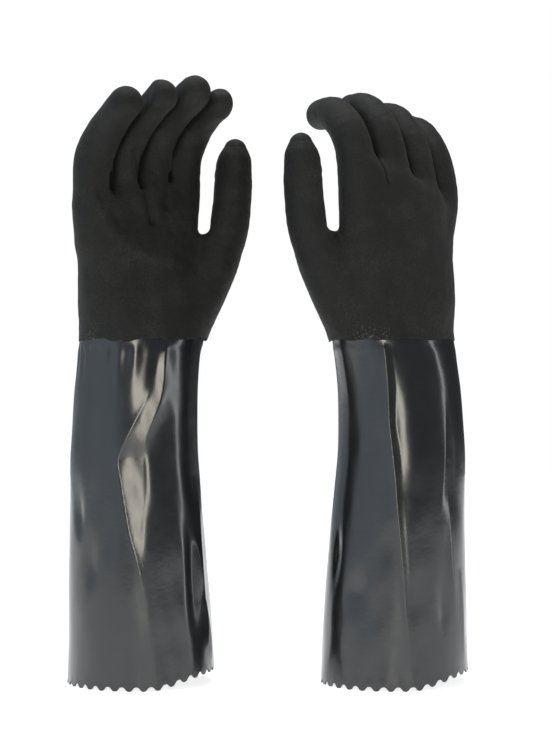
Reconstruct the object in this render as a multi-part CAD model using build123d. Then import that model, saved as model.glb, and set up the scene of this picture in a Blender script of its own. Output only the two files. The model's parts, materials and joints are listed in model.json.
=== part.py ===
from build123d import *

import math
import os

# A pair of long insulated gauntlet gloves, standing on their cuffs with the fingers up.
# Millimetres. +Z is up and the cuff edges rest on Z = 0. Glove "a" stands at -X with its palm
# towards -Y, and glove "b" at +X with its back towards -Y.
# Each glove is drawn in its own glove frame: +X towards the thumb, +Y towards the back of the
# hand. The hand turns by HAND_TURN against its sleeve, and "hand frame" means that turned frame.

# ---- driving dimensions -------------------------------------------------------------------
GLOVE_SPACING = 182.0      # between the two sleeves' centre lines
PAIR_SHIFT = -8.09         # the fingertips reach further back than forward, so the sleeves shift
HAND_TURN = 25.0           # degrees from the sleeve's axes to the hand's axes, about Z
COAT = 1.4                 # gritty outer coat of the hand
LINING_OUT, LINING_IN = 1.6, 4.2        # insulating lining of the hand, as depths under the skin
SLEEVE_WALL = 1.3          # smooth sleeve film
NECK_OUT, NECK_IN = 1.6, 2.9            # the sleeve's stepped neck inside the hand's coat
SLEEVE_LINING_OUT, SLEEVE_LINING_IN = 3.1, 4.9
WRIST_Z = 248.0            # where the hand's coat ends on the sleeve
NECK_TOP_Z = 262.0
NECK_STEP = 6.0            # height of the solid step between sleeve and neck
SLEEVE_LINING_FOOT = 7.0
PART_GAP = 0.3             # clearance between neighbouring pieces
BEND_HALF = 8.5            # half the length of the skin that folds at a finger joint
THUMB_BEND_HALF = 7.0
PINK_COUNT, PINK_DEPTH, PINK_HALF = 32, 3.0, 2.9    # notches of the pinked cuff edge
SEAM_HALF, SEAM_PROUD, SEAM_LIFT = 2.2, 0.9, 0.05   # welded seam on the back of the sleeve
CUT_SIZE = 400.0           # a block larger than the glove, for trimming
CROTCH_Z, CROTCH_SLOPE, CROTCH_X = 347.4, 0.23, -28.6   # the web between the fingers climbs to +X

# Outline of sleeve and palm: height, centre x, centre y, half width, half depth, turn in degrees
OUTLINE = [
    (-6, -1.0, 0, 54.2, 50.2, 0),
    (0, -1.0, 0, 54.0, 50.0, 0),
    (60, -2.0, 0, 52.0, 48.0, 0),
    (125, -4.0, 0, 49.0, 46.0, 0),
    (168, -6.0, 0, 47.0, 44.0, 0),
    (190, -5.6, 0, 46.0, 42.8, 5),
    (212, -4.4, 0, 45.4, 41.2, 12),
    (235, -2.0, 0, 45.5, 38.5, 20),
    (252, 0.0, 0, 47.0, 35.5, HAND_TURN),
    (275, -1.0, 0, 46.8, 30.5, HAND_TURN),
    (305, -1.0, 0, 47.5, 25.5, HAND_TURN),
    (335, -2.8, -1, 48.5, 21.0, HAND_TURN),
    (378, -3.0, 0, 48.5, 16.5, HAND_TURN),
]
# Fingers in the hand frame: hinge x, y, z, the three bone lengths, radius at the root and tip
FINGERS = {
    "a": {
        "index": (33.0, 0.0, 374.5, (27, 24, 19), 11.3, 10.8),
        "middle": (9.0, 1.5, 370.0, (32, 27, 21), 11.2, 10.8),
        "ring": (-15.8, 0.0, 363.5, (32, 27, 21), 11.0, 10.6),
        "little": (-40.6, -4.0, 357.0, (31, 23, 19), 10.8, 10.2),
    },
    "b": {
        "index": (28.5, 1.0, 373.0, (28, 25, 20), 12.0, 11.2),
        "middle": (0.5, 2.0, 367.5, (34, 28, 22), 12.0, 11.2),
        "ring": (-26.0, -3.5, 360.0, (35, 28, 21), 11.0, 10.6),
        "little": (-49.3, -12.0, 353.5, (32, 25, 19), 10.2, 10.0),
    },
}
# How far each bone leans forward from upright, in degrees, at rest
CURL = {
    "a": {"index": (8, 50, 88), "middle": (10, 45, 82), "ring": (8, 41, 79), "little": (4, 33, 68)},
    "b": {"index": (14, 53, 88), "middle": (12, 46, 84), "ring": (11, 44, 80), "little": (8, 38, 72)},
}
LEAN = {"a": 10.0, "b": 9.0}        # sideways lean of all four fingers towards the thumb
# Thumb in the hand frame: points of its centre line with radii, from the wrist to the tip
THUMB_ROOT = [(20, -2, 262, 23.0), (33, -4, 275, 21.5), (45, -6, 291, 20.0), (55, -8, 308, 17.8)]
THUMB_HINGES = [(65.0, -9.6, 335.0, 15.2), (67.5, -10.4, 367.0, 13.4)]
THUMB_END = (68.6, -10.8, 386.5, 11.0)


# ---- vectors, sections and tubes ------------------------------------------------------------
def point_at(values):
    return Vector(*values[:3])


def disc(centre, direction, radius):
    """A round section square to a direction, its seam always on the +X side."""
    side = Vector(1, 0, 0) - direction * direction.X
    return Plane(origin=centre, x_dir=side, z_dir=direction) * Circle(radius)


def tube(stations, depth=0.0):
    """A solid through round stations (centre, direction, radius), each made smaller by depth."""
    return loft([disc(c, d, r - depth) for c, d, r in stations], ruled=True)


def dome(centre, direction, radius, depth=0.0):
    """Stations that round off a fingertip whose last full section is at centre."""
    reach = radius - depth
    steps = [math.radians(a) for a in (28, 50, 68, 82)]
    return [(centre + direction * (reach * math.sin(a)), direction, reach * math.cos(a) + depth)
            for a in steps]


def elbow(corner, before, after, half, radius):
    """Three stations round the bend where a centre line turns at a hinge."""
    start, end = corner - before * half, corner + after * half
    middle = ((start + end) * 0.5 + corner) * 0.5
    return [(start, before, radius), (middle, (before + after).normalized(), radius),
            (end, after, radius)]


def block(low_z, high_z):
    """A large block between two heights."""
    return Pos(0, 0, (low_z + high_z) / 2) * Box(CUT_SIZE, CUT_SIZE, high_z - low_z)


def shell(maker, outer, inner):
    """The wall between two depths of a shape."""
    return maker(outer) - maker(inner)


# ---- finger layout --------------------------------------------------------------------------
class Finger:
    """Centre line of one finger in the hand frame, in its rest pose."""

    def __init__(self, hand, name):
        x, y, z, bones, self.root, self.tip = FINGERS[hand][name]
        lean = math.radians(LEAN[hand])
        self.half = BEND_HALF
        self.up = Vector(0, 0, 1)
        self.ways = [
            Vector(math.sin(lean) * math.cos(a), -math.sin(a), math.cos(lean) * math.cos(a))
            for a in map(math.radians, CURL[hand][name])
        ]
        self.points = [Vector(x, y, z)]
        for way, length in zip(self.ways, bones):
            self.points.append(self.points[-1] + way * length)
        middle = self.root + (self.tip - self.root) * 0.4
        self.radii = [self.root, middle, (middle + self.tip) / 2, self.tip]

    def knuckle(self):
        return elbow(self.points[0], self.up, self.ways[0], self.half - PART_GAP / 2, self.radii[0])

    def base(self):
        start = self.points[0] + self.ways[0] * (self.half + PART_GAP / 2)
        end = self.points[1] - self.ways[0] * (self.half + PART_GAP / 2)
        return [(start, self.ways[0], self.radii[0]), (end, self.ways[0], self.radii[1])]

    def bend(self):
        return elbow(self.points[1], *self.ways[:2], self.half - PART_GAP / 2, self.radii[1])

    def end(self, depth):
        start = self.points[1] + self.ways[1] * (self.half + PART_GAP / 2)
        turn = elbow(self.points[2], self.ways[1], self.ways[2], self.half * 0.8, self.radii[2])
        last = (self.points[3], self.ways[2], self.tip)
        return [(start, self.ways[1], self.radii[1]), *turn, last, *dome(*last, depth)]

    def lining(self, depth):
        """One sock from the web of the hand to the fingertip."""
        return [*self.knuckle(), *self.bend(), *self.end(depth)[1:]]


class Thumb:
    """Centre line of the thumb in the hand frame, in its rest pose."""

    def __init__(self):
        self.half = THUMB_BEND_HALF
        self.points = [point_at(p) for p in (*THUMB_HINGES, THUMB_END)]
        self.radii = [THUMB_HINGES[0][3], THUMB_HINGES[1][3], THUMB_END[3]]
        root = point_at(THUMB_ROOT[-1])
        self.up = (self.points[0] - root).normalized()
        self.ways = [(b - a).normalized() for a, b in zip(self.points, self.points[1:])]

    def root(self, depth):
        """The mound at the base of the thumb, up to the first fold."""
        last = self.points[0] - self.up * (self.half + PART_GAP / 2)
        centres = [point_at(p) for p in THUMB_ROOT] + [last]
        radii = [p[3] for p in THUMB_ROOT] + [self.radii[0]]
        ways = [(b - a).normalized() for a, b in zip(centres, centres[1:])] + [self.up]
        return list(zip(centres, ways, radii))

    def knuckle(self):
        return elbow(self.points[0], self.up, self.ways[0], self.half - PART_GAP / 2, self.radii[0])

    def base(self):
        start = self.points[0] + self.ways[0] * (self.half + PART_GAP / 2)
        end = self.points[1] - self.ways[0] * (self.half + PART_GAP / 2)
        return [(start, self.ways[0], self.radii[0]), (end, self.ways[0], self.radii[1])]

    def bend(self):
        return elbow(self.points[1], *self.ways, self.half - PART_GAP / 2, self.radii[1])

    def end(self, depth):
        start = self.points[1] + self.ways[1] * (self.half + PART_GAP / 2)
        last = (self.points[2], self.ways[1], self.radii[2])
        return [(start, self.ways[1], self.radii[1]), last, *dome(*last, depth)]

    def lining(self, depth):
        return [*self.knuckle(), *self.bend(), *self.end(depth)[1:]]


# ---- sleeve and hand ------------------------------------------------------------------------
def outline(depth):
    """Sleeve and palm as one solid, in the glove frame, made smaller by depth."""
    return loft([Pos(x, y, z) * Rot(0, 0, turn) * Ellipse(a - depth, b - depth)
                 for z, x, y, a, b, turn in OUTLINE], ruled=True)


def web_cut(depth):
    """A block whose sloping underside is the web between the fingers, in the hand frame."""
    slope = math.degrees(math.atan(CROTCH_SLOPE))
    return (Pos(CROTCH_X, 0, CROTCH_Z - depth) * Rot(0, -slope, 0)
            * Pos(0, 0, CUT_SIZE / 2) * Box(CUT_SIZE, CUT_SIZE, CUT_SIZE))


def turned(shape):
    """From the hand frame to the glove frame."""
    return Rot(0, 0, HAND_TURN) * shape


def hand_body(depth, fingers, thumb):
    """Palm, finger roots and thumb mound as one solid, made smaller by depth."""
    body = outline(depth) - turned(web_cut(depth))
    for finger in fingers.values():
        root = finger.points[0]
        top = root - finger.up * (finger.half + PART_GAP / 2)
        foot = Vector(root.X * 0.85, root.Y * 0.5, root.Z - finger.half * 5)
        body += turned(tube([(foot, finger.up, finger.root - 1), (top, finger.up, finger.root)], depth))
    return body + turned(tube(thumb.root(depth), depth))


def pinking():
    """Wedges that notch the cuff edge all the way round."""
    wedge = Polygon((-2 * PINK_HALF, -PINK_DEPTH), (2 * PINK_HALF, -PINK_DEPTH), (0, PINK_DEPTH),
                    align=None)
    prism = Pos(0, -30, 0) * (Plane.XZ * extrude(wedge, 60))
    return [Rot(0, 0, 360 * k / PINK_COUNT) * prism for k in range(PINK_COUNT)]


def sleeve_film():
    wall = shell(outline, 0, SLEEVE_WALL) & block(0, WRIST_Z - PART_GAP)
    step = shell(outline, 0, NECK_IN) & block(WRIST_Z - NECK_STEP, WRIST_Z - PART_GAP)
    neck = shell(outline, NECK_OUT, NECK_IN) & block(WRIST_Z - NECK_STEP, NECK_TOP_Z)
    return wall - pinking() + step + neck


def sleeve_lining():
    return (shell(outline, SLEEVE_LINING_OUT, SLEEVE_LINING_IN)
            & block(SLEEVE_LINING_FOOT, NECK_TOP_Z))


def sleeve_seam():
    """Raised weld down the middle of the back of the sleeve."""
    strip = Pos(0, CUT_SIZE / 4, WRIST_Z / 2) * Box(2 * SEAM_HALF, CUT_SIZE / 2, WRIST_Z - 18)
    return shell(outline, -SEAM_PROUD, -SEAM_LIFT) & strip


def glove_parts(hand):
    """Every piece of one glove, by name, in the glove frame."""
    fingers = {name: Finger(hand, name) for name in FINGERS[hand]}
    thumb = Thumb()

    def body(depth):
        return hand_body(depth, fingers, thumb)

    parts = {
        "sleeve": sleeve_film(),
        "sleeve_lining": sleeve_lining(),
        "sleeve_seam": sleeve_seam(),
        "hand_coat": shell(body, 0, COAT) & block(WRIST_Z, CUT_SIZE),
        "hand_lining": shell(body, LINING_OUT, LINING_IN) & block(NECK_TOP_Z + PART_GAP, CUT_SIZE),
    }
    for name, digit in {**fingers, "thumb": thumb}.items():
        parts[name + "_knuckle_fold"] = shell(lambda d: turned(tube(digit.knuckle(), d)), 0, COAT)
        parts[name + "_base"] = shell(lambda d: turned(tube(digit.base(), d)), 0, COAT)
        parts[name + "_middle_fold"] = shell(lambda d: turned(tube(digit.bend(), d)), 0, COAT)
        parts[name + "_end"] = shell(lambda d: turned(tube(digit.end(d), d)), 0, COAT)
        parts[name + "_lining"] = shell(
            lambda d: turned(tube(digit.lining(d), d)), LINING_OUT, LINING_IN)
    return parts


def placed(hand, shape):
    """From the glove frame to the pair's frame."""
    if hand == "a":
        return Pos(-GLOVE_SPACING / 2, PAIR_SHIFT, 0) * shape
    return Pos(GLOVE_SPACING / 2, PAIR_SHIFT, 0) * Rot(0, 0, 180) * shape


def main():
    os.makedirs("parts", exist_ok=True)
    for hand in "ab":
        for name, shape in glove_parts(hand).items():
            export_step(placed(hand, shape), f"parts/{hand}_{name}.step")


main()
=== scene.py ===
"""A pair of long insulated gauntlet gloves, standing on their cuffs with the fingers up.

Lengths are metres in Blender and millimetres in the shape functions. Each glove has a glove
frame (+X towards its thumb, +Y towards the back of the hand, Z up) and a hand frame, which is
the glove frame turned by HAND_TURN about Z. Glove "a" shows its palm to -Y, glove "b" its back.
"""

import json
import math

import bmesh
import bpy
import numpy as np
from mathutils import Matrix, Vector


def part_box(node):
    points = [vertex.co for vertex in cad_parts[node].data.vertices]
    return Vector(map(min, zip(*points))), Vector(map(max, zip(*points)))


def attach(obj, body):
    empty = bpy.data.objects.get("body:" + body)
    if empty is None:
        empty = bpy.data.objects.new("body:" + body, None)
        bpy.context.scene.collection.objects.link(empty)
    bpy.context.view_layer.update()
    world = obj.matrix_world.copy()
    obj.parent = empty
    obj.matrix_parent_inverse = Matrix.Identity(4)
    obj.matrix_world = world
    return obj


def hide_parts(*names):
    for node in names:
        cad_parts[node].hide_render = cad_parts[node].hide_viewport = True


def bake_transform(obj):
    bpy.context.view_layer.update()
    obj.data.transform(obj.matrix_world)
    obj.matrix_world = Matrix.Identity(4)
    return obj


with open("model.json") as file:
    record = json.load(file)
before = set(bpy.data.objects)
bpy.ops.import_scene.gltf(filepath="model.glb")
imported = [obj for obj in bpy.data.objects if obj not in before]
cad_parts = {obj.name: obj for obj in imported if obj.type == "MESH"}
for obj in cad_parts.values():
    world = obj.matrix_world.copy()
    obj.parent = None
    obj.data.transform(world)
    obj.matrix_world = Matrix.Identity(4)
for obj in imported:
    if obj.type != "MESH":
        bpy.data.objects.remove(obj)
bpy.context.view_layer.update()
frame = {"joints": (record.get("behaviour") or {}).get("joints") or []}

MM = 0.001
HAND_TURN = math.radians(25)
WRIST_Z = 248.0           # lower edge of the gritty coat
SLEEVE_TOP = 262.0
COAT_VOXEL = 1.1
PALM_LINING_VOXEL, SOCK_VOXEL = 2.4, 2.0
# Walls: how deep the outer face lies below the outline, and how thick the wall is
COAT = 1.3
LINING_DEPTH, LINING_THICK = 1.7, 2.4
FILM_DEPTH, FILM_THICK = 0.6, 1.2
FLEECE_DEPTH, FLEECE_THICK = 3.0, 1.8

# Outline of sleeve and palm in the glove frame:
# height, centre x, centre y, half width, half depth, turn in degrees
OUTLINE = np.array([
    (-6, -1.0, 0, 54.2, 50.2, 0),
    (0, -1.0, 0, 54.0, 50.0, 0),
    (60, -2.0, 0, 52.0, 48.0, 0),
    (125, -4.0, 0, 49.0, 46.0, 0),
    (168, -6.0, 0, 47.0, 44.0, 0),
    (190, -5.6, 0, 46.0, 42.8, 5),
    (212, -4.4, 0, 45.4, 41.2, 12),
    (235, -2.0, 0, 45.5, 38.5, 20),
    (252, 0.0, 0, 47.0, 35.5, 25),
    (275, -1.0, 0, 46.8, 30.5, 25),
    (305, -1.0, 0, 47.5, 25.5, 25),
    (335, -4.6, -1, 46.7, 21.0, 25),
    (378, -5.0, 0, 46.5, 13.5, 25),
])
FINGERS = ("index", "middle", "ring", "little")
DIGITS = (*FINGERS, "thumb")
# Lengths of the middle and end bones
BONES = {
    "a": {"index": (24, 19), "middle": (27, 21), "ring": (27, 21), "little": (23, 19)},
    "b": {"index": (25, 20), "middle": (27, 22), "ring": (27, 21), "little": (24, 19)},
}
# Radii at the knuckle, the middle joint and the tip
RADII = {
    "a": {"index": (12.6, 13.0, 11.4), "middle": (12.8, 13.2, 12.2),
          "ring": (12.8, 13.0, 12.0), "little": (14.0, 14.6, 12.4)},
    "b": {"index": (13.6, 13.4, 11.4), "middle": (13.6, 13.2, 11.0),
          "ring": (12.6, 12.6, 10.6), "little": (12.0, 12.0, 10.2)},
}
# How far the middle and end bones lean forward from the first one, in degrees, at rest
CURL = {
    "a": {"index": (52, 70), "middle": (46, 60), "ring": (43, 60), "little": (39, 56)},
    "b": {"index": (39, 74), "middle": (34, 72), "ring": (33, 69), "little": (30, 64)},
}
# The thumb's fleshy root as hand-frame points with their radii, and the two last points of its
# centre line
THUMB_ROOT = [(17, -2, 247, 25.0), (28, -3, 262, 23.5), (37, -4.5, 276, 21.5), (46, -6, 291, 19.5),
              (55, -8, 308, 17.8)]
THUMB_TIP = [(68.4, -10.7, 379.5), (69.0, -10.8, 388.0)]
THUMB_RADII = (15.6, 13.8, 12.4, 8.6)
# The slot between thumb and hand: foot and top of its middle line as glove-frame x and height
SLOT_FOOT, SLOT_TOP, SLOT_RADIUS = (44.3, 330.5), (47.6, 366.0), 4.3
SLOT_EDGE = 2.5           # rounding of its rim
SLOT_DROP = 32.0          # how far below the slot's foot the thumb's own skin may reach
# The plane where the fingers' own skin begins, just below their hinges, climbs towards the thumb
FOLD_SLOPE = 0.24
FOLD_Z = {"a": 348.0, "b": 346.5}      # its height at FOLD_X
FOLD_X = -41.0
# The palm's top edge: its height at WEB_X, and how it climbs towards the thumb
WEB_Z, WEB_X, WEB_SLOPE = 358.5, -29.0, 0.40
# A finger's tube starts inside the palm, below its hinge and a little nearer the middle
ROOT_SPREAD, ROOT_DROP, ROOT_X = np.array([0.95, 0.4, 1]), 38.0, (-37.5, 38.0)
FINGER_BLEND, THUMB_BLEND = 8.0, 6.0
PALM_ARCH = {"a": 0.0024, "b": 0.0046}
# How much nearer the thumb than half-way the slit between ring and little finger lies
LITTLE_SHIFT = {"a": 2.5, "b": 0.0}
# Creases and ridges of the palm side as hand-frame x and height, with their depth and width
CREASES = [
    ([(-8, 384), (-6, 368), (-2.5, 352), (1, 334)], 3.0, 3.2),
    ([(-27, 366), (-29, 356)], 2.0, 2.4),
    ([(19, 368), (14, 354), (12, 345)], 2.2, 3.0),
    ([(-14, 340), (2, 326)], 1.8, 16.0),
    ([(-42, 348), (-33, 330), (-20, 316), (-5, 309), (14, 306)], -1.1, 5.0),
]
# The fine ridge up the back of glove b, as hand-frame x and height
MOULD_LINE = [(22.5, 240), (21, 268), (20, 290)]
# Half the stretch over which the skin bends at a joint
HALF_BEND, THUMB_HALF_BEND = 9.0, 8.0
EDGE_SEED = {"a": 4, "b": 35}


# ---- numbers ----------------------------------------------------------------------------------
def on_path(z, path):
    """The other columns of a path's rows at heights z, on a smooth curve through the rows."""
    path = np.asarray(path, float)
    heights, rows = path[:, 0], path[:, 1:]
    slopes = np.gradient(rows, heights, axis=0)
    k = np.clip(np.searchsorted(heights, z, side="right") - 1, 0, len(heights) - 2)
    step = (heights[k + 1] - heights[k])[..., None]
    t = np.clip((z - heights[k])[..., None] / step, 0, 1)
    return ((2 * t**3 - 3 * t**2 + 1) * rows[k] + (t**3 - 2 * t**2 + t) * step * slopes[k]
            + (3 * t**2 - 2 * t**3) * rows[k + 1] + (t**3 - t**2) * step * slopes[k + 1])


def unit(way):
    return way / np.linalg.norm(way)


def smooth_step(t):
    t = np.clip(t, 0, 1)
    return t * t * (3 - 2 * t)


def soft_min(a, b, k):
    """The smaller of two distances, with the corner between them rounded over k."""
    h = np.maximum(k - np.abs(a - b), 0) / np.maximum(k, 1e-6)
    return np.minimum(a, b) - h * h * k / 4


def soft_max(a, b, k):
    return -soft_min(-a, -b, k)


def bump(x, width):
    return np.exp(-(x / width) ** 2)


def waves(p, size, seed, count=12):
    """Smooth uneven values of about -1 to 1, with features of about that size."""
    rng = np.random.default_rng(seed)
    total = np.zeros(p.shape[:-1])
    for _ in range(count):
        way = rng.normal(size=3)
        way *= 2 * math.pi / size * rng.uniform(0.6, 1.4) / np.linalg.norm(way)
        total += np.sin(p @ way + rng.uniform(0, 2 * math.pi))
    return total / math.sqrt(count / 2) / 1.6


# ---- one glove's frame and its digits ---------------------------------------------------------
class Digit:
    """Centre line of a finger or the thumb in the hand frame, in millimetres."""

    def __init__(self, glove, name):
        joints = {j["name"]: j for j in frame["joints"]}
        knuckle = joints[f"{glove.hand}_{name}_knuckle"]
        middle = joints[f"{glove.hand}_{name}_middle"]
        self.hinge = glove.to_hand(knuckle["pos_m"])
        self.second = glove.to_hand(middle["pos_m"])
        self.side = glove.turn_to_hand(np.array(knuckle["axis"], float))
        self.way = unit(self.second - self.hinge)
        self.points = [self.hinge, self.second]
        if name == "thumb":
            self.points += [*np.array(THUMB_TIP)]
            self.radii = THUMB_RADII
            self.half = THUMB_HALF_BEND
            self.cut_way = unit(self.hinge - np.array(THUMB_ROOT[-1][:3]))
            self.cut = self.hinge - self.cut_way * self.half
        else:
            for angle, length in zip(CURL[glove.hand][name], BONES[glove.hand][name]):
                self.points.append(self.points[-1] + self.curled(angle) * length)
            knuckle_r, middle_r, tip_r = RADII[glove.hand][name]
            self.radii = (knuckle_r, middle_r, (middle_r + tip_r) / 2, tip_r)
            self.half = HALF_BEND
            self.cut_way = unit(np.array([-FOLD_SLOPE, 0.0, 1.0]))
            self.cut = np.array([FOLD_X, 0.0, FOLD_Z[glove.hand]])
        self.middle_cut = (self.hinge + self.second) / 2

    def curled(self, degrees):
        """The first bone's direction, curled further towards the palm about the hinge."""
        a = math.radians(degrees)
        return self.way * math.cos(a) + np.cross(self.side, self.way) * math.sin(a)


class Glove:
    def __init__(self, hand):
        self.hand = hand
        low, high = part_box(f"{hand}_sleeve")
        sign = 1 if hand == "a" else -1
        self.centre = np.array((low + high) / 2) / MM
        self.centre[0] -= sign * OUTLINE[1, 1]
        self.centre[2] = 0
        self.turn = HAND_TURN + (0 if hand == "a" else math.pi)
        self.front = -math.pi / 2 if hand == "a" else math.pi / 2     # glove-frame way that faces -Y
        self.digits = {name: Digit(self, name) for name in DIGITS}

    def rotated(self, p, angle):
        c, s = math.cos(angle), math.sin(angle)
        p = np.asarray(p, float)
        return np.stack([p[..., 0] * c - p[..., 1] * s, p[..., 0] * s + p[..., 1] * c, p[..., 2]], -1)

    def turn_to_hand(self, way):
        return self.rotated(way, -self.turn)

    def to_hand(self, metres):
        return self.rotated(np.asarray(metres, float) / MM - self.centre, -self.turn)

    def beyond_slot(self, metres):
        """Whether a world point lies on the thumb's side of the slot."""
        p = self.to_hand(np.array(metres))
        foot, top = SLOT_FOOT, SLOT_TOP
        lean = (top[0] - foot[0]) / (top[1] - foot[1])
        return glove_x(p) > foot[0] + lean * (p[2] - foot[1]) and p[2] > foot[1] - SLOT_DROP

    def to_world(self, p):
        return (self.rotated(p, self.turn) + self.centre) * MM

    def glove_to_world(self, p):
        return (self.rotated(p, self.turn - HAND_TURN) + self.centre) * MM


# ---- the hand's shape as a distance field -----------------------------------------------------
def rounded_line(points, radii, steps=5):
    """A centre line with its corners rounded off, and the radii along it."""
    points = [np.asarray(q, float) for q in points]
    line, sizes = [points[0]], [radii[0]]
    for k in range(1, len(points) - 1):
        before, corner, after = points[k - 1:k + 2]
        reach = 0.46 * min(np.linalg.norm(corner - before), np.linalg.norm(after - corner))
        start = corner + unit(before - corner) * reach
        stop = corner + unit(after - corner) * reach
        for t in np.linspace(0, 1, steps):
            line.append((1 - t) ** 2 * start + 2 * t * (1 - t) * corner + t * t * stop)
            toward = radii[k - 1] if t < 0.5 else radii[k + 1]
            sizes.append(radii[k] + (toward - radii[k]) * 0.46 * abs(2 * t - 1))
    return line + [points[-1]], sizes + [radii[-1]]


def tube_field(p, points, radii):
    """Distance to a round tube of changing radius along a smooth centre line."""
    line, sizes = rounded_line(points, radii)
    total = None
    for a, b, ra, rb in zip(line, line[1:], sizes, sizes[1:]):
        d = b - a
        t = np.clip(((p - a) @ d) / (d @ d), 0, 1)
        dist = np.linalg.norm(p - a - t[..., None] * d, axis=-1) - (ra + (rb - ra) * t)
        total = dist if total is None else np.minimum(total, dist)
    return total


def section_field(p, turn):
    """Distance to the sleeve-and-palm outline, whose sections grow boxier above the wrist."""
    power = 2 + 0.25 * smooth_step((p[..., 2] - 252) / 26)
    c, s = math.cos(turn), math.sin(turn)
    x, y = p[..., 0] * c - p[..., 1] * s, p[..., 0] * s + p[..., 1] * c
    rows = on_path(p[..., 2], OUTLINE)
    x, y = x - rows[..., 0], y - rows[..., 1]
    a = np.radians(rows[..., 4])
    u, v = x * np.cos(a) + y * np.sin(a), -x * np.sin(a) + y * np.cos(a)
    half_u, half_v = rows[..., 2], rows[..., 3]
    k = (np.abs(u / half_u) ** power + np.abs(v / half_v) ** power) ** (1 / power)
    k = np.maximum(k, 1e-3)
    reach = np.hypot(u, v) / k
    normal = np.hypot(u / half_u**2, v / half_v**2) / np.maximum(np.hypot(u / half_u, v / half_v), 1e-6)
    return np.where(k > 0.3, (k - 1) / np.maximum(normal, 1e-3), -reach)


def digit_field(glove, p, name):
    digit = glove.digits[name]
    if name == "thumb":
        points = [q[:3] for q in THUMB_ROOT] + digit.points
        radii = [q[3] for q in THUMB_ROOT] + list(digit.radii)
        return tube_field(p, points, radii)
    root = digit.hinge * ROOT_SPREAD - np.array([0, 0, ROOT_DROP])
    root[0] = np.clip(root[0], *ROOT_X)
    return tube_field(p, [root, *digit.points], [digit.radii[0] - 1, *digit.radii])


def palm_field(glove, p):
    arch = PALM_ARCH[glove.hand] * np.minimum(p[..., 0], 0) ** 2
    bent = p.copy()
    bent[..., 1] += arch * smooth_step((p[..., 2] - 285) / 55)
    side = section_field(bent, HAND_TURN)
    front = smooth_step(-p[..., 1] / 14)
    top = p[..., 2] - (WEB_Z + WEB_SLOPE * (p[..., 0] - WEB_X)) + 5 * front
    return soft_max(side, top, 12.0)


def slab_field(glove, p, name):
    """How far p lies outside the slab that a finger keeps to, and how round its edges are there."""
    near = LITTLE_SHIFT[glove.hand]
    digits = glove.digits
    order = FINGERS.index(name)
    across = p @ digits[name].side
    here = digits[name].hinge @ digits[name].side
    outside = np.full(p.shape[:-1], -50.0)
    if order > 0:
        other = digits[FINGERS[order - 1]]
        shift = near if name == "little" else 0
        outside = np.maximum(outside, across - shift - (here + other.hinge @ other.side) / 2)
    if order < 3:
        other = digits[FINGERS[order + 1]]
        shift = near if name == "ring" else 0
        outside = np.maximum(outside, (here + other.hinge @ other.side) / 2 + shift - across)
    above = p[..., 2] - (WEB_Z + WEB_SLOPE * (p[..., 0] - WEB_X))
    rounding = 0.3 + 3.2 * smooth_step((above + 2) / 9)
    return outside, rounding


def line_distance(x, z, path):
    """Distance in a plane from points to a broken line."""
    q = np.stack([x, z], -1)
    total = None
    for a, b in zip(np.array(path, float), np.array(path[1:], float)):
        d = b - a
        t = np.clip(((q - a) @ d) / (d @ d), 0, 1)
        dist = np.linalg.norm(q - a - t[..., None] * d, axis=-1)
        total = dist if total is None else np.minimum(total, dist)
    return total


def glove_x(p):
    return p[..., 0] * math.cos(HAND_TURN) - p[..., 1] * math.sin(HAND_TURN)


def slot_field(p):
    """Distance into the open slot between the thumb and the hand."""
    return SLOT_RADIUS - line_distance(glove_x(p), p[..., 2], [SLOT_FOOT, SLOT_TOP])


def relief(glove, p):
    """Creases and soft ridges, as a change of the distance."""
    x, y, z = p[..., 0], p[..., 1], p[..., 2]
    palm_side = smooth_step((-y - 2) / 8)
    total = 0.25 * waves(p, 26.0, 5) + 0.1 * waves(p, 9.0, 7)
    for path, depth, width in CREASES:
        total = total + palm_side * depth * bump(line_distance(x, z, path), width)
    if glove.hand == "b":
        total = total - 0.5 * smooth_step(y / 6) * bump(line_distance(x, z, MOULD_LINE), 1.2)
    return total


def swayed(glove, p):
    """Glove a's fingers snake: they lean away from the thumb first, and towards it further up."""
    if glove.hand == "b":
        return p
    x, z = p[..., 0], p[..., 2]
    sway = -2.2 * bump(z - 378, 15) + 3.0 * smooth_step((z - 392) / 26)
    q = p.copy()
    q[..., 0] -= sway * smooth_step((52 - x) / 8)
    return q


def hand_field(glove, p, name=None):
    """The hand below the fold plane, or one finger above it."""
    p = swayed(glove, p)
    palm = palm_field(glove, p)
    if name == "thumb":
        total = soft_min(palm, digit_field(glove, p, "thumb"), THUMB_BLEND)
    elif name:
        outside, rounding = slab_field(glove, p, name)
        total = soft_min(palm, digit_field(glove, p, name), FINGER_BLEND)
        total = soft_max(total, outside, rounding)
    else:
        fingers = palm
        for finger in FINGERS:
            joined = soft_min(palm, digit_field(glove, p, finger), FINGER_BLEND)
            fingers = np.minimum(fingers, joined)
        total = soft_min(fingers, digit_field(glove, p, "thumb"), THUMB_BLEND)
    return soft_max(total, slot_field(p), SLOT_EDGE) + relief(glove, p)


# ---- meshing ----------------------------------------------------------------------------------
CORNERS = np.array([(i, j, k) for i in (0, 1) for j in (0, 1) for k in (0, 1)])
EDGES = [(a, b) for a in range(8) for b in range(a + 1, 8)
         if np.abs(CORNERS[a] - CORNERS[b]).sum() == 1]


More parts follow.
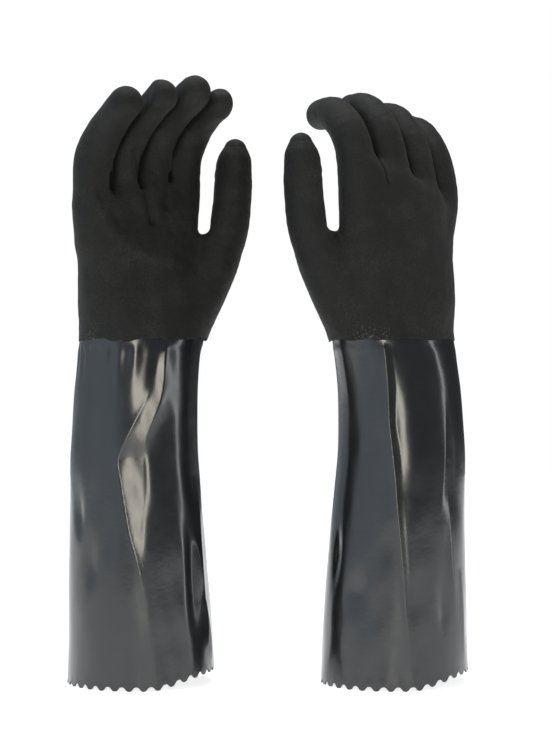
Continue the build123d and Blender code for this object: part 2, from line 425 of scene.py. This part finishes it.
def surface_net(field, low, high, step):
    """Vertices and quads of the field's zero surface on a lattice, as two arrays."""
    first = np.floor(np.asarray(low) / step).astype(int)
    last = np.ceil(np.asarray(high) / step).astype(int)
    axes = [np.arange(a, b + 1) * step for a, b in zip(first, last)]
    points = np.stack(np.meshgrid(*axes, indexing="ij"), -1)
    values = np.concatenate([field(part) for part in np.array_split(points, 24, axis=0) if len(part)])
    inside = values < 0
    shape = tuple(n - 1 for n in values.shape)
    count = np.zeros(shape, np.int8)
    for c in CORNERS:
        count += inside[c[0]:c[0] + shape[0], c[1]:c[1] + shape[1], c[2]:c[2] + shape[2]]
    cells = np.argwhere((count > 0) & (count < 8))
    number = np.full(shape, -1)
    number[tuple(cells.T)] = np.arange(len(cells))
    corner = [values[tuple((cells + c).T)] for c in CORNERS]
    total, crossings = np.zeros((len(cells), 3)), np.zeros(len(cells))
    for a, b in EDGES:
        cross = (corner[a] < 0) != (corner[b] < 0)
        t = corner[a] / np.where(cross, corner[a] - corner[b], 1)
        total += np.where(cross[:, None], CORNERS[a] + t[:, None] * (CORNERS[b] - CORNERS[a]), 0)
        crossings += cross
    verts = (first + cells + total / crossings[:, None]) * step
    quads = []
    for axis in range(3):
        u, v = (axis + 1) % 3, (axis + 2) % 3
        start = np.argwhere(np.diff(inside.astype(np.int8), axis=axis) != 0)
        keep = (start[:, u] > 0) & (start[:, v] > 0) & (start[:, u] < shape[u]) & (start[:, v] < shape[v])
        start = start[keep]
        ring = []
        for du, dv in ((1, 1), (0, 1), (0, 0), (1, 0)):
            cell = start.copy()
            cell[:, u] -= du
            cell[:, v] -= dv
            ring.append(number[tuple(cell.T)])
        quad = np.stack(ring, 1)
        outward = inside[tuple(start.T)]
        quad[~outward] = quad[~outward][:, ::-1]
        quads.append(quad)
    return verts, np.concatenate(quads)


def relaxed(verts, quads, field, rounds=3):
    """Evens out the lattice's steps while keeping the vertices on the surface."""
    for _ in range(rounds):
        total, count = np.zeros_like(verts), np.zeros(len(verts))
        for a, b in ((0, 1), (1, 2), (2, 3), (3, 0)):
            for i, j in ((a, b), (b, a)):
                np.add.at(total, quads[:, i], verts[quads[:, j]])
                np.add.at(count, quads[:, i], 1)
        verts = verts * 0.5 + 0.5 * total / np.maximum(count, 1)[:, None]
        e = 0.4
        value = field(verts)
        slope = np.stack([field(verts + e * d) - field(verts - e * d) for d in np.eye(3)], -1) / (2 * e)
        size = np.maximum((slope**2).sum(-1), 0.2)
        verts = verts - np.clip(value / size, -1, 1)[:, None] * slope
    return verts


def new_object(name, verts, faces):
    mesh = bpy.data.meshes.new(name)
    mesh.from_pydata(verts.tolist(), [], faces.tolist())
    mesh.update()
    thing = bpy.data.objects.new(name, mesh)
    bpy.context.scene.collection.objects.link(thing)
    for polygon in mesh.polygons:
        polygon.use_smooth = True
    return thing


def cut_away(thing, point, way, where=None):
    """Removes what lies beyond a plane, on the faces that where says."""
    work = bmesh.new()
    work.from_mesh(thing.data)
    faces = [f for f in work.faces if where is None or where(f.calc_center_median())]
    geom = faces + list({e for f in faces for e in f.edges}) + list({v for f in faces for v in f.verts})
    bmesh.ops.bisect_plane(work, geom=geom, dist=1e-7, plane_co=point, plane_no=way, clear_outer=True)
    loose = [v for v in work.verts if not v.link_faces]
    bmesh.ops.delete(work, geom=loose, context="VERTS")
    work.to_mesh(thing.data)
    work.free()
    thing.data.update()


def thicken(thing, thickness):
    """Gives a skin its wall, inwards from its outer face."""
    solid = thing.modifiers.new("wall", "SOLIDIFY")
    solid.thickness = thickness * MM
    solid.offset = -1
    apply_modifiers(thing)


def apply_modifiers(thing):
    graph = bpy.context.evaluated_depsgraph_get()
    mesh = bpy.data.meshes.new_from_object(thing.evaluated_get(graph))
    thing.modifiers.clear()
    thing.data = mesh
    mesh.set_sharp_from_angle(angle=math.radians(55))


# ---- materials --------------------------------------------------------------------------------
def fill_ramp(ramp, stops):
    """Sets a colour ramp's stops, each a place with a colour or a grey."""
    while len(ramp.elements) < len(stops):
        ramp.elements.new(0.5)
    for element, (place, colour) in zip(ramp.elements, stops):
        element.position = place
        value = colour if isinstance(colour, tuple) else (colour,) * 3
        element.color = (*value, 1)


class Shader:
    """A small helper for node materials."""

    def __init__(self, name):
        self.material = bpy.data.materials.new(name)
        self.material.use_nodes = True
        self.nodes, self.links = self.material.node_tree.nodes, self.material.node_tree.links
        self.surface = self.nodes["Principled BSDF"]
        self.place = self.add("ShaderNodeTexCoord").outputs["Object"]

    def add(self, kind, **values):
        node = self.nodes.new(kind)
        for key, value in values.items():
            setattr(node, key, value)
        return node

    def noise(self, scale, detail=3.0, roughness=0.6):
        node = self.add("ShaderNodeTexNoise")
        node.inputs["Scale"].default_value = scale
        node.inputs["Detail"].default_value = detail
        node.inputs["Roughness"].default_value = roughness
        self.links.new(self.place, node.inputs["Vector"])
        return node.outputs[0]

    def ramp(self, source, *stops):
        node = self.add("ShaderNodeValToRGB")
        fill_ramp(node.color_ramp, stops)
        self.links.new(source, node.inputs[0])
        return node.outputs[0]

    def math(self, operation, a, b):
        node = self.add("ShaderNodeMath", operation=operation)
        for socket, value in zip(node.inputs, (a, b)):
            if isinstance(value, (int, float)):
                socket.default_value = value
            else:
                self.links.new(value, socket)
        return node.outputs[0]

    def bump(self, height, strength, distance, under=None):
        node = self.add("ShaderNodeBump")
        node.inputs["Strength"].default_value = strength
        node.inputs["Distance"].default_value = distance
        self.links.new(height, node.inputs["Height"])
        if under is not None:
            self.links.new(under, node.inputs["Normal"])
        return node.outputs[0]

    def set(self, **values):
        for key, value in values.items():
            socket = self.surface.inputs[key.replace("_", " ")]
            if isinstance(value, bpy.types.NodeSocket):
                self.links.new(value, socket)
            else:
                socket.default_value = value
        return self.material


def sandy_material():
    """Gritty matt coat: fine sand in the skin, paler where it has rubbed."""
    s = Shader("sandy_pvc")
    grit = s.noise(1100, 3.0, 0.75)
    patches = s.noise(45, 4.0, 0.65)
    shade = s.math("ADD", s.math("MULTIPLY", grit, 0.6), s.math("MULTIPLY", patches, 0.4))
    colour = s.ramp(shade, (0.38, (0.0018, 0.0018, 0.0011)), (0.5, (0.0058, 0.0057, 0.0042)),
                    (0.62, (0.02, 0.0195, 0.015)))
    height = s.add("ShaderNodeSeparateXYZ")
    s.links.new(s.place, height.inputs[0])
    low = s.ramp(height.outputs["Z"], (0.249, 1.0), (0.268, 0.0))
    worn = s.math("MULTIPLY", low, s.ramp(s.noise(26, 2.0), (0.56, 0.0), (0.66, 1.0)))
    flecks = s.math("MULTIPLY", worn, s.ramp(s.noise(650, 2.0, 0.6), (0.58, 0.0), (0.66, 0.6)))
    mix = s.add("ShaderNodeMix", data_type="RGBA")
    s.links.new(flecks, mix.inputs[0])
    s.links.new(colour, mix.inputs[6])
    mix.inputs[7].default_value = (0.14, 0.14, 0.115, 1)
    rough = s.ramp(patches, (0.3, 0.56), (0.7, 0.74))
    under = s.bump(s.noise(240, 3.0, 0.6), 0.3, 0.0008)
    normal = s.bump(grit, 0.7, 0.0006, under)
    return s.set(Base_Color=mix.outputs[2], Roughness=rough, Normal=normal, Sheen_Weight=0.04,
                 Sheen_Roughness=0.5, Specular_IOR_Level=0.27)


def sleeve_material():
    """Smooth glossy PVC with the faint orange peel of a dipped skin."""
    s = Shader("sleeve_pvc")
    broad = s.noise(34, 3.0, 0.55)
    fine = s.noise(420, 3.0, 0.6)
    colour = s.ramp(broad, (0.3, (0.0075, 0.008, 0.0085)), (0.75, (0.013, 0.0135, 0.014)))
    rough = s.ramp(s.noise(90, 4.0, 0.6), (0.3, 0.17), (0.75, 0.25))
    under = s.bump(broad, 0.12, 0.0025)
    normal = s.bump(fine, 0.12, 0.0004, under)
    return s.set(Base_Color=colour, Roughness=rough, Normal=normal, Coat_Weight=0.35,
                 Coat_Roughness=0.12, Specular_IOR_Level=0.55)


def lining_material():
    """Brushed knitted fleece: rows of loops under a soft nap."""
    s = Shader("lining_fabric")
    rows = s.add("ShaderNodeTexWave", wave_type="BANDS", bands_direction="Z")
    rows.inputs["Scale"].default_value = 210
    rows.inputs["Distortion"].default_value = 2.5
    s.links.new(s.place, rows.inputs["Vector"])
    nap = s.noise(900, 4.0, 0.75)
    weave = s.math("ADD", s.math("MULTIPLY", rows.outputs[1], 0.5), s.math("MULTIPLY", nap, 0.6))
    colour = s.ramp(weave, (0.25, (0.045, 0.05, 0.06)), (0.8, (0.16, 0.175, 0.2)))
    return s.set(Base_Color=colour, Roughness=s.ramp(nap, (0.3, 0.88), (0.7, 0.98)),
                 Normal=s.bump(weave, 0.6, 0.0008), Sheen_Weight=0.6, Sheen_Roughness=0.5)


MATERIALS = {
    "sandy_pvc": sandy_material(),
    "sleeve_pvc": sleeve_material(),
    "lining_fabric": lining_material(),
}


def finish_piece(thing, slot, *nodes):
    thing.data.materials.clear()
    thing.data.materials.append(MATERIALS[slot])
    if nodes:
        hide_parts(*nodes)


# ---- the hand's pieces ------------------------------------------------------------------------
def world_plane(glove, point, way):
    """A hand-frame point and direction in the world."""
    start, end = glove.to_world(point), glove.to_world(np.asarray(point) + way)
    return Vector(start), Vector(end - start).normalized()


def hand_mesh(glove, label, name, low, high, depth, voxel):
    def field(p):
        return hand_field(glove, p, name) + depth

    verts, quads = surface_net(field, low, high, voxel)
    verts = relaxed(verts, quads, field)
    return new_object(label, glove.to_world(verts), quads)


def keep_beyond_slot(glove, thing):
    """Removes what lies on the fingers' side of the slot."""
    work = bmesh.new()
    work.from_mesh(thing.data)
    faces = [f for f in work.faces if not glove.beyond_slot(f.calc_center_median())]
    bmesh.ops.delete(work, geom=faces, context="FACES")
    work.to_mesh(thing.data)
    work.free()


def make_palm(glove, depth, thickness, label, bottom, voxel):
    """The hand below the fingers' own skin and the thumb's, down to the height bottom."""
    thumb = glove.digits["thumb"]
    palm = hand_mesh(glove, label, None, (-72, -48, bottom - 6), (92, 48, 374), depth, voxel)
    index = glove.digits["index"]
    cut_away(palm, *world_plane(glove, index.cut, index.cut_way), lambda c: not glove.beyond_slot(c))
    cut_away(palm, *world_plane(glove, thumb.cut, thumb.cut_way), glove.beyond_slot)
    cut_away(palm, Vector((0, 0, bottom * MM)), Vector((0, 0, -1)))
    if depth == 0:
        ragged_edge(palm, bottom, EDGE_SEED[glove.hand])
    thicken(palm, thickness)
    return palm


def ragged_edge(palm, bottom, seed):
    """The dipped coat's lower edge wanders a little up and down."""
    points = np.array([v.co for v in palm.data.vertices]) / MM
    low = np.clip(1 - (points[:, 2] - bottom) / 9, 0, 1)
    drop = 1.0 * waves(points, 30.0, seed) + 0.5 * waves(points, 7.0, 3)
    points[:, 2] += drop * low
    for vertex, z in zip(palm.data.vertices, points[:, 2]):
        vertex.co.z = z * MM


def make_digit(glove, name, depth, thickness, label, voxel):
    """The base piece and the end piece of one digit."""
    digit = glove.digits[name]
    reach = np.array([*digit.points])
    low, high = reach.min(0) - 22, reach.max(0) + 20
    low[1], high[1] = min(low[1], -34), max(high[1], 34)
    low[2] = digit.cut[2] - 12 if name == "thumb" else FOLD_Z[glove.hand] - 18
    whole = hand_mesh(glove, label, name, low, high, depth, voxel)
    if name == "thumb":
        keep_beyond_slot(glove, whole)
    cut_away(whole, *world_plane(glove, digit.cut, -digit.cut_way))
    end = whole.copy()
    end.data = whole.data.copy()
    bpy.context.scene.collection.objects.link(end)
    cut_away(whole, *world_plane(glove, digit.middle_cut, digit.way))
    cut_away(end, *world_plane(glove, digit.middle_cut, -digit.way))
    for piece in (whole, end):
        thicken(piece, thickness)
    start = glove.to_world(digit.hinge - digit.cut_way * ((digit.hinge - digit.cut) @ digit.cut_way))
    along = Vector(glove.to_world(digit.cut_way) - glove.to_world(np.zeros(3)))
    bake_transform(whole)
    bend = unit(digit.way + unit(digit.points[2] - digit.second)) * digit.half
    glove.to_world(digit.second - bend)
    glove.to_world(digit.second + bend)
    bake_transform(end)
    return whole, end


def build_hand(glove):
    hand = glove.hand
    palm = make_palm(glove, 0.0, COAT, f"{hand}_palm_coat", WRIST_Z, COAT_VOXEL)
    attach(palm, f"glove_{hand}")
    folds = [f"{hand}_{name}_knuckle_fold" for name in DIGITS]
    finish_piece(palm, "sandy_pvc", f"{hand}_hand_coat", *folds)
    inner = make_palm(glove, LINING_DEPTH, LINING_THICK, f"{hand}_palm_lining", SLEEVE_TOP + 0.5,
                      PALM_LINING_VOXEL)
    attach(inner, f"glove_{hand}")
    finish_piece(inner, "lining_fabric", f"{hand}_hand_lining")
    for name in DIGITS:
        base, end = make_digit(glove, name, 0.0, COAT, f"{hand}_{name}", COAT_VOXEL)
        base.name, end.name = f"{hand}_{name}_base_skin", f"{hand}_{name}_end_skin"
        finish_piece(base, "sandy_pvc", f"{hand}_{name}_base", f"{hand}_{name}_middle_fold")
        finish_piece(end, "sandy_pvc", f"{hand}_{name}_end")
        base, end = make_digit(glove, name, LINING_DEPTH, LINING_THICK, f"{hand}_{name}_sock", SOCK_VOXEL)
        base.name, end.name = f"{hand}_{name}_base_sock", f"{hand}_{name}_end_sock"
        finish_piece(base, "lining_fabric", f"{hand}_{name}_lining")
        finish_piece(end, "lining_fabric")


# ---- sleeves ----------------------------------------------------------------------------------
def ring_points(angles, z, depth, push):
    """Points of the outline in the glove frame at heights z, pushed outwards."""
    rows = on_path(z, OUTLINE)
    a, b = rows[..., 2] - depth + push, rows[..., 3] - depth + push
    turn = np.radians(rows[..., 4])
    local = angles - turn
    u, v = a * np.cos(local), b * np.sin(local)
    x = rows[..., 0] + u * np.cos(turn) - v * np.sin(turn)
    y = rows[..., 1] + u * np.sin(turn) + v * np.cos(turn)
    return np.stack([x, y, z], -1)


# Degrees on a sleeve are counted round towards +X from the side that faces -Y.
# The long crease up each sleeve: height, degrees, and the width of the flat strip on its +X side
CREASE_LINE = {
    "a": [(0, 14, 2), (54, 9.6, 2), (87, 3.6, 3), (112, -3.5, 8), (126, -6, 12), (146, -8.9, 17),
          (164, -10.4, 19), (178, -3.3, 15), (204, 13.1, 11), (242, 25.5, 4), (262, 32, 2)],
    "b": [(0, 12, 2), (54, 5.4, 3), (87, 1.6, 4.5), (112, -1.9, 5), (145, -7, 5), (170, -11.3, 6),
          (186, -12.9, 5), (219, -11.4, 6), (250, -7.7, 4), (262, -7.7, 4)],
}
LIT_WAY = {"a": 5.4, "b": -1.2}      # the way the flat strip faces, in degrees
# Dents of the film: degrees, height, depth, half width and half height
DENTS = {
    "a": [(-54, 123, 1.8, 5, 14), (-39, 90, 1.6, 6, 16), (52, 75, 1.5, 5, 30), (-30, 205, 0.8, 9, 22)],
    "b": [(-62, 95, 1.8, 4, 16), (-37, 68, 1.5, 6, 11), (38, 60, 1.2, 6, 26), (48, 150, 1.0, 6, 34)],
}
# Short folds that stand out: degrees at the foot and top, heights of foot and top, crest
FOLDS = {
    "a": [(70, 60, 22, 108, 2.4), (62, 72, 62, 150, 2.0), (80, 66, 8, 60, 1.8)],
    "b": [(52, 42, 40, 160, 1.4), (66, 60, 10, 84, 1.2), (34, 44, 120, 205, 0.7)],
}
SLEEVE_RADIUS = 47.0
RIDGE = {"a": 0.4, "b": 1.0}         # crest of the thin ridge along the crease
TUCKS_Z = 236.0                      # height of the small tucks under the coat
FILM_SEED = {"a": 11, "b": 23}
HEM_RISE, HEM_TEETH = 9.0, 32


def wrapped(degrees):
    """The same angle between -180 and 180 degrees."""
    return (degrees + 180) % 360 - 180


def sleeve_push(glove, angles, z):
    """How far the slack film stands out of its outline, in millimetres."""
    hand = glove.hand
    round_by = wrapped(np.degrees(angles) - math.degrees(glove.front))
    seed = FILM_SEED[hand]
    p = np.stack([SLEEVE_RADIUS * np.cos(angles), SLEEVE_RADIUS * np.sin(angles), z * 0.35], -1)
    push = 0.55 * waves(p, 55.0, seed) + 0.12 * waves(p, 16.0, seed + 1)
    at, width = np.moveaxis(on_path(z, CREASE_LINE[hand]), -1, 0)
    s = np.radians(wrapped(round_by - at)) * SLEEVE_RADIUS
    turn = np.radians(at - LIT_WAY[hand])
    t = np.clip(s, 0, width)
    strip = t * t / (2 * SLEEVE_RADIUS) + turn * t
    push += strip * np.exp(-np.clip(s - width, 0, None) / 7)
    push += RIDGE[hand] * np.exp(-np.abs(s) / 3.0)
    for degrees, height, depth, half_width, half_height in DENTS[hand]:
        gap = np.radians(wrapped(round_by - degrees)) * SLEEVE_RADIUS
        push -= depth * bump(gap, half_width) * bump(z - height, half_height)
    for foot, top, low, high, crest in FOLDS[hand]:
        t = (z - low) / (high - low)
        gap = np.radians(wrapped(round_by - foot - (top - foot) * t)) * SLEEVE_RADIUS
        push += crest * np.exp(-np.hypot(gap, 0.8) / 4.5) * np.clip(4 * t * (1 - t), 0, 1)
    tucks = np.cos(np.radians(round_by) * 27 + 2 * waves(p, 60.0, seed + 2))
    share = smooth_step((30 - round_by) / 30) if hand == "a" else 0.15
    push += 0.3 * tucks * bump(z - TUCKS_Z, 15) * share
    return push * smooth_step((247 - z) / 8)


def hem_lift(glove, angles):
    """The cuff edge isn't level: it rises towards +X."""
    right = np.sin(angles - glove.front)
    return HEM_RISE * smooth_step((right - 0.15) / 0.85)


def sleeve_grid(glove, label, depth, low, high, columns, rows, hem=False):
    """One layer of the sleeve as an open tube between two heights, pinked at the hem if asked."""
    angles = np.linspace(0, 2 * math.pi, columns, endpoint=False)
    z = np.linspace(low, high, rows)
    angle_grid, z_grid = np.meshgrid(angles, z)
    push = sleeve_push(glove, angle_grid, z_grid)
    points = ring_points(angle_grid, z_grid, depth, push)
    lift = hem_lift(glove, angle_grid) * np.exp(-(z_grid - low) / 30)
    if hem:
        teeth = 1.5 + 1.5 * np.clip(1.35 * np.cos(angle_grid * HEM_TEETH), -1, 1)
        lift = lift + teeth * np.exp(-((z_grid - low) / 7) ** 2)
    points[..., 2] += lift
    verts = glove.glove_to_world(points.reshape(-1, 3))
    i, j = np.meshgrid(np.arange(rows - 1), np.arange(columns), indexing="ij")
    after = (j + 1) % columns
    quads = np.stack([i * columns + j, i * columns + after, (i + 1) * columns + after,
                      (i + 1) * columns + j], -1).reshape(-1, 4)
    return new_object(label, verts, quads)


def build_sleeve(glove):
    hand = glove.hand
    columns = 384
    top = SLEEVE_TOP - 2
    film = sleeve_grid(glove, f"{hand}_sleeve_film", FILM_DEPTH, 0.0, top, columns, 220, hem=True)
    thicken(film, FILM_THICK)
    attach(film, f"glove_{hand}")
    finish_piece(film, "sleeve_pvc", f"{hand}_sleeve", f"{hand}_sleeve_seam")
    fleece = sleeve_grid(glove, f"{hand}_sleeve_fleece", FLEECE_DEPTH, 7.0, top, 160, 120)
    thicken(fleece, FLEECE_THICK)
    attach(fleece, f"glove_{hand}")
    finish_piece(fleece, "lining_fabric", f"{hand}_sleeve_lining")


for one_hand in ("a", "b"):
    one_glove = Glove(one_hand)
    build_hand(one_glove)
    build_sleeve(one_glove)


# ---- floor, light and camera ------------------------------------------------------------------
FLOOR_RADIUS, FLOOR_SIDES = 3.0, 96
LIGHTS_AIM = (0, 0, 0.2)
CAMERA_PLACE, CAMERA_LENS, CAMERA_SENSOR = (0.0061, -1.4581, 0.223), 95.9, 36


def area_light(name, place, target, size, power, colour=(1, 1, 1)):
    data = bpy.data.lights.new(name, "AREA")
    data.shape = "RECTANGLE"
    data.size, data.size_y = size
    data.energy = power
    data.color = colour
    lamp = bpy.data.objects.new(name, data)
    bpy.context.scene.collection.objects.link(lamp)
    lamp.location = place
    lamp.rotation_euler = (Vector(target) - Vector(place)).to_track_quat("-Z", "Y").to_euler()


def build_stage():
    """A pale floor: a disc wider than any view needs."""
    rim = [(FLOOR_RADIUS * math.cos(t), FLOOR_RADIUS * math.sin(t), 0.0)
           for t in np.linspace(0, 2 * math.pi, FLOOR_SIDES, endpoint=False)]
    floor = new_object("studio_floor", np.array(rim), np.array([range(FLOOR_SIDES)]))
    s = Shader("studio_paper")
    paper = s.ramp(s.noise(4, 2.0), (0.3, (0.86, 0.86, 0.86)), (0.7, (0.9, 0.9, 0.9)))
    s.set(Base_Color=paper, Roughness=0.95, Specular_IOR_Level=0.0, Emission_Color=(1, 1, 1, 1),
          Emission_Strength=0.8)
    floor.data.materials.append(s.material)


def build_world():
    """White to look at, and a studio to light by: a bluish wall at -X and a dim one at +X."""
    world = bpy.data.worlds.new("studio")
    bpy.context.scene.world = world
    world.use_nodes = True
    nodes, links = world.node_tree.nodes, world.node_tree.links
    studio = nodes["Background"]
    place = nodes.new("ShaderNodeTexCoord")
    split = nodes.new("ShaderNodeSeparateXYZ")
    links.new(place.outputs["Generated"], split.inputs[0])
    ramp = nodes.new("ShaderNodeValToRGB")
    walls = [(0.0, (0.78, 0.9, 1.02)), (0.24, (0.85, 1.0, 1.14)), (0.42, (0.3, 0.34, 0.37)),
             (0.6, (0.13, 0.145, 0.155)), (1.0, (0.17, 0.19, 0.205))]
    fill_ramp(ramp.color_ramp, walls)
    shift = nodes.new("ShaderNodeMath")
    shift.operation = "MULTIPLY_ADD"
    shift.inputs[1].default_value, shift.inputs[2].default_value = 0.5, 0.5
    links.new(split.outputs["X"], shift.inputs[0])
    links.new(shift.outputs[0], ramp.inputs[0])
    links.new(ramp.outputs[0], studio.inputs["Color"])
    behind = nodes.new("ShaderNodeMapRange")
    for socket, value in zip(list(behind.inputs)[1:5], (-0.3, 0.6, 1.0, 0.4)):
        socket.default_value = value
    links.new(split.outputs["Y"], behind.inputs[0])
    links.new(behind.outputs[0], studio.inputs["Strength"])
    white = nodes.new("ShaderNodeBackground")
    white.inputs["Color"].default_value = (1, 1, 1, 1)
    white.inputs["Strength"].default_value = 1.0
    mix, path = nodes.new("ShaderNodeMixShader"), nodes.new("ShaderNodeLightPath")
    links.new(path.outputs["Is Camera Ray"], mix.inputs[0])
    links.new(studio.outputs[0], mix.inputs[1])
    links.new(white.outputs[0], mix.inputs[2])
    links.new(mix.outputs[0], nodes["World Output"].inputs["Surface"])


def build_lights():
    area_light("key", (0.12, -1.7, 0.55), LIGHTS_AIM, (0.26, 1.0), 7, (1.0, 0.95, 0.82))
    area_light("strip_right", (1.2, -0.2, 0.5), LIGHTS_AIM, (0.12, 1.2), 2, (0.95, 0.98, 1.0))
    area_light("top", (0.0, 0.1, 1.5), LIGHTS_AIM, (1.0, 0.7), 10)


def build_camera():
    data = bpy.data.cameras.new("camera")
    data.sensor_width = CAMERA_SENSOR
    data.lens = CAMERA_LENS
    camera = bpy.data.objects.new("camera", data)
    bpy.context.scene.collection.objects.link(camera)
    camera.location = CAMERA_PLACE
    camera.rotation_euler = (math.pi / 2, 0, 0)
    bpy.context.scene.camera = camera


build_stage()
build_world()
build_lights()
build_camera()
bpy.context.scene.view_settings.view_transform = "Standard"
